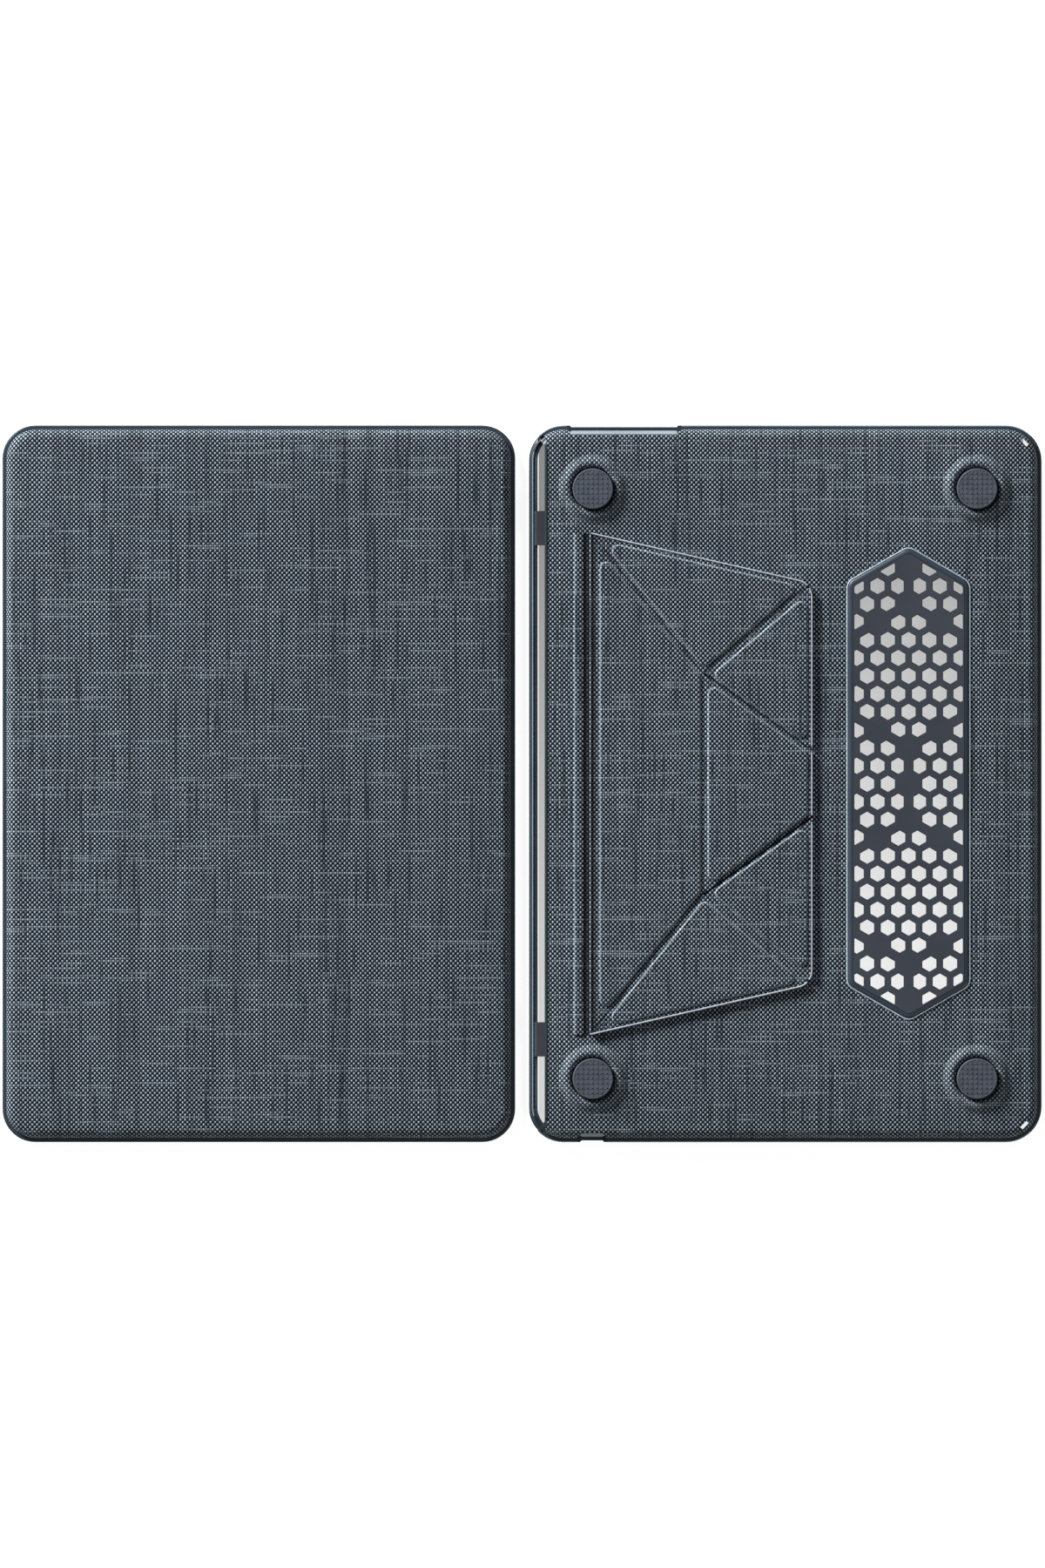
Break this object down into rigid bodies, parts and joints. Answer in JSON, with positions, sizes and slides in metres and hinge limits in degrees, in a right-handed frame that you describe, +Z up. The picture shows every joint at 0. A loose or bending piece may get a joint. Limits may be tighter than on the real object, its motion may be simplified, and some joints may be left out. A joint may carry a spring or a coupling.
{
  "type": "laptop case with folding stand",
  "caption": "Two-piece fabric-covered hard-shell laptop case: plain lid half, and base half with rubber feet, a hexagon-holed vent and a folding origami stand.",
  "frame": {"origin": "middle of the side-by-side layout, on the surface that both halves rest on", "axes": "+X from the lid half to the base half (front edge of the base outermost), +Y along the hinge line towards the port side, +Z up out of the fabric faces"},
  "size_m": [0.4472, 0.3084, 0.0132],
  "materials": {
    "shell": "satin moulded plastic, dark slate",
    "fabric": "plain linen-look weave, slate blue-grey",
    "vent": "satin moulded plastic",
    "foot": "matte rubber with fine moulded dots",
    "adhesive": "double-sided tape",
    "steel": "plated steel",
    "board": "raw stiffener board",
    "lining": "smooth non-woven lining"
  },
  "bodies": {
    "base": {"base_shell": "shell", "base_fabric": "fabric", "vent_frame": "vent", "vent_grille": "vent", "foot_rear_left": "foot", "foot_rear_right": "foot", "foot_front_left": "foot", "foot_front_right": "foot", "foot_adhesive_discs": "adhesive", "keeper_discs": "steel", "stand_hinge_strip": "fabric"},
    "lid": {"lid_shell": "shell", "lid_fabric": "fabric"},
    "stand_main": {"board_main": "board", "cover_main": "fabric", "lining_main": "lining"},
    "stand_brace": {"board_brace": "board", "cover_brace": "fabric", "lining_brace": "lining", "stand_magnets": "steel"},
    "wing_left": {"board_wing_left": "board", "cover_wing_left": "fabric", "lining_wing_left": "lining"},
    "wing_right": {"board_wing_right": "board", "cover_wing_right": "fabric", "lining_wing_right": "lining"},
    "gusset_left": {"board_gusset_left": "board", "cover_gusset_left": "fabric", "lining_gusset_left": "lining"},
    "gusset_right": {"board_gusset_right": "board", "cover_gusset_right": "fabric", "lining_gusset_right": "lining"}
  },
  "joints": [
    {"name": "lid_lift", "type": "slide", "parent": "base", "child": "lid", "axis": [0, 0, 1], "range_m": [0, 0.03]},
    {"name": "stand_swing", "type": "hinge", "parent": "base", "child": "stand_main", "pos_m": [0.0295, 0, 0.0103], "axis": [0, -1, 0], "range_deg": [0, 40]},
    {"name": "brace_fold", "type": "hinge", "parent": "stand_main", "child": "stand_brace", "pos_m": [0.07835, 0, 0.0103], "axis": [0, 1, 0], "range_deg": [0, 82]},
    {"name": "wing_left_fold", "type": "hinge", "parent": "stand_main", "child": "wing_left", "pos_m": [0.07835, 0.047, 0.0103], "axis": [-0.6251, 0.7806, 0], "range_deg": [0, 37]},
    {"name": "wing_right_fold", "type": "hinge", "parent": "stand_main", "child": "wing_right", "pos_m": [0.07835, -0.047, 0.0103], "axis": [0.6251, 0.7806, 0], "range_deg": [0, 37]},
    {"name": "gusset_left_fold", "type": "hinge", "parent": "wing_left", "child": "gusset_left", "pos_m": [0.07835, 0.047, 0.0103], "axis": [0.7648, 0.6443, 0], "range_deg": [0, 57]},
    {"name": "gusset_right_fold", "type": "hinge", "parent": "wing_right", "child": "gusset_right", "pos_m": [0.07835, -0.047, 0.0103], "axis": [-0.7648, 0.6443, 0], "range_deg": [0, 57]}
  ],
  "couplings": [
    {"joint": "brace_fold", "follows": "stand_swing", "ratio": 2.045},
    {"joint": "wing_left_fold", "follows": "stand_swing", "ratio": 0.9146},
    {"joint": "wing_right_fold", "follows": "stand_swing", "ratio": 0.9146},
    {"joint": "gusset_left_fold", "follows": "stand_swing", "ratio": 1.4165},
    {"joint": "gusset_right_fold", "follows": "stand_swing", "ratio": 1.4165}
  ]
}
